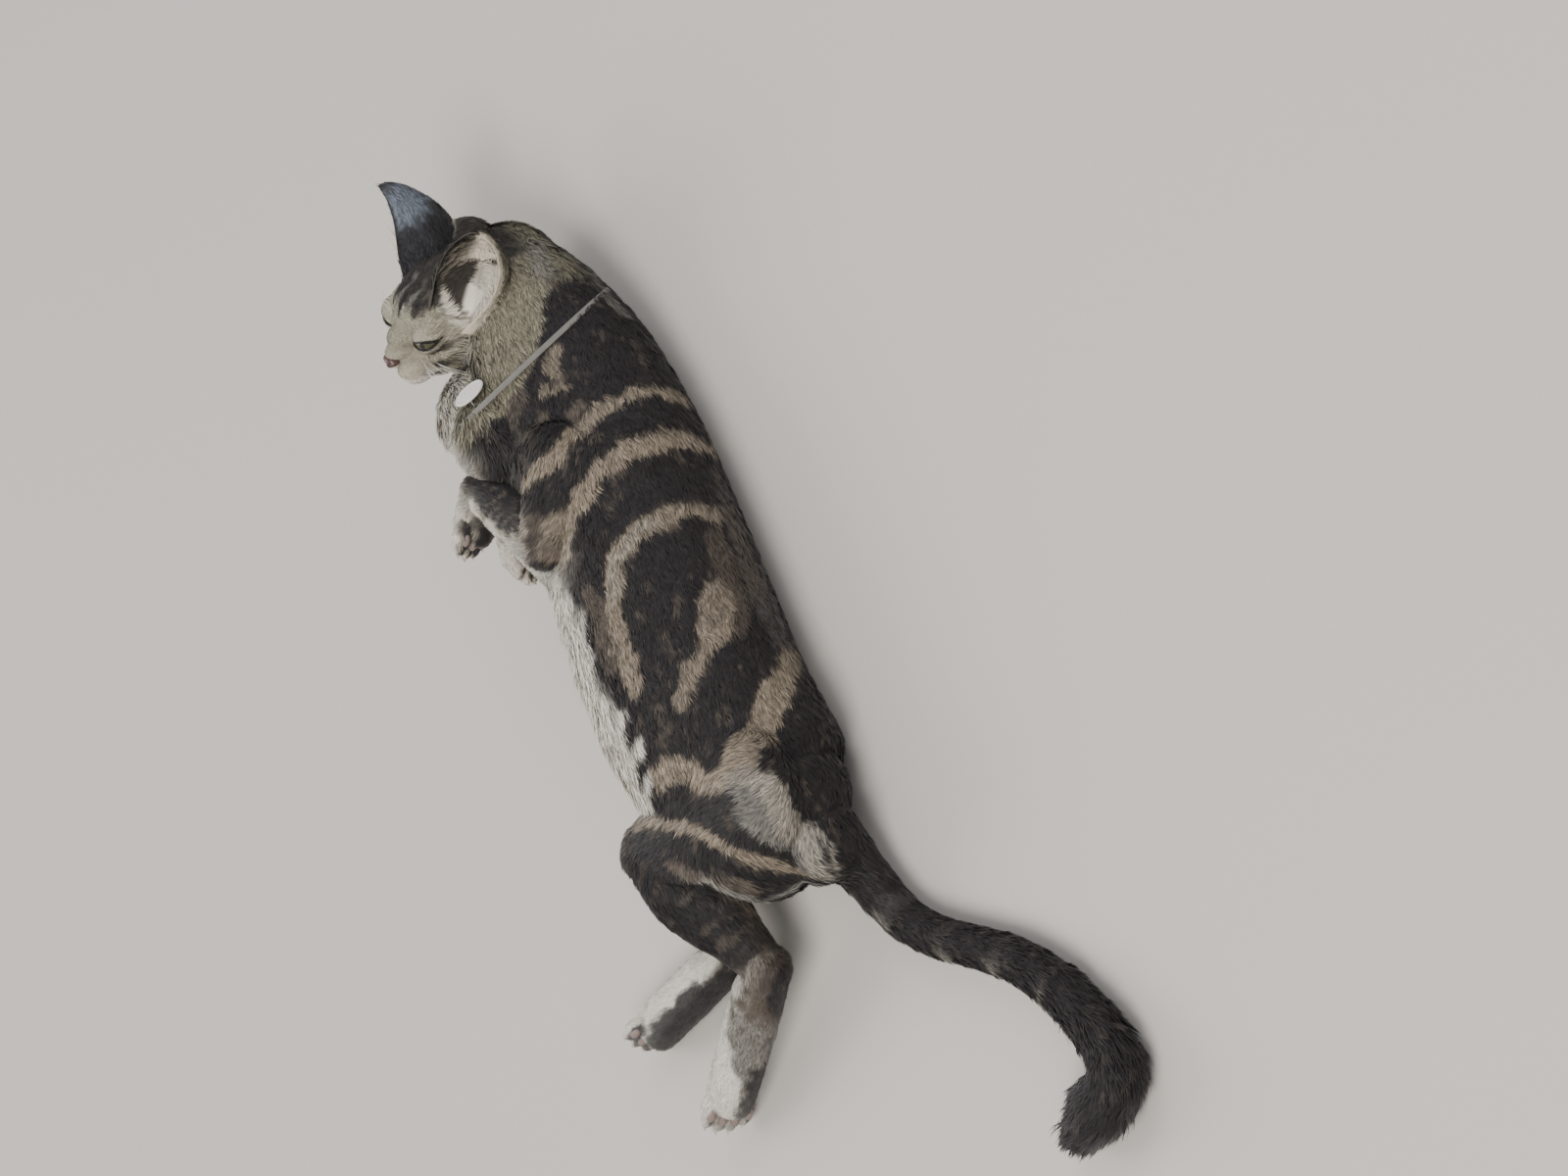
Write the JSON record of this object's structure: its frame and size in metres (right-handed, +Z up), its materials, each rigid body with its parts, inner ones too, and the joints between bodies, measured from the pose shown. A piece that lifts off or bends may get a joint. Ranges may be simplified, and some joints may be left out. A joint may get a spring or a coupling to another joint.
{
  "type": "domestic cat",
  "caption": "Shorthaired tabby cat lying on its right side, forelegs folded to the chest, hind legs and tail stretched out, with a thin collar and a blank tag.",
  "frame": {"origin": "middle of the bounding box seen from above, on the floor", "axes": "+X along the trunk towards the head, +Y towards the belly and the feet, +Z up"},
  "size_m": [0.7578, 0.3846, 0.129],
  "materials": {
    "tabby_fur": "short fur, brown and grey with dark bands",
    "dark_fur": "short fur, near black",
    "pale_fur": "short fur, cream",
    "ear_skin": "thin skin with fine fur",
    "nose_skin": "moist bare skin",
    "eye": "wet",
    "collar_strap": "woven",
    "tag_plate": "satin, blank"
  },
  "bodies": {
    "root": {"head": "tabby_fur", "nose": "nose_skin", "eye_left": "eye", "eye_right": "eye", "ear_left": "ear_skin", "ear_right": "ear_skin", "collar": "collar_strap", "collar_tag": "tag_plate", "neck": "tabby_fur", "torso_chest": "tabby_fur", "torso_belly": "tabby_fur", "torso_rump": "tabby_fur", "tail_base": "dark_fur", "tail_middle": "dark_fur", "tail_tip": "dark_fur", "hind_left_thigh": "tabby_fur", "hind_left_shank": "dark_fur", "hind_left_foot": "pale_fur", "hind_right_thigh": "tabby_fur", "hind_right_shank": "dark_fur", "hind_right_foot": "pale_fur", "fore_left_upper_arm": "tabby_fur", "fore_left_forearm": "dark_fur", "fore_left_paw": "pale_fur", "fore_right_upper_arm": "tabby_fur", "fore_right_forearm": "dark_fur", "fore_right_paw": "pale_fur"}
  },
  "joints": []
}
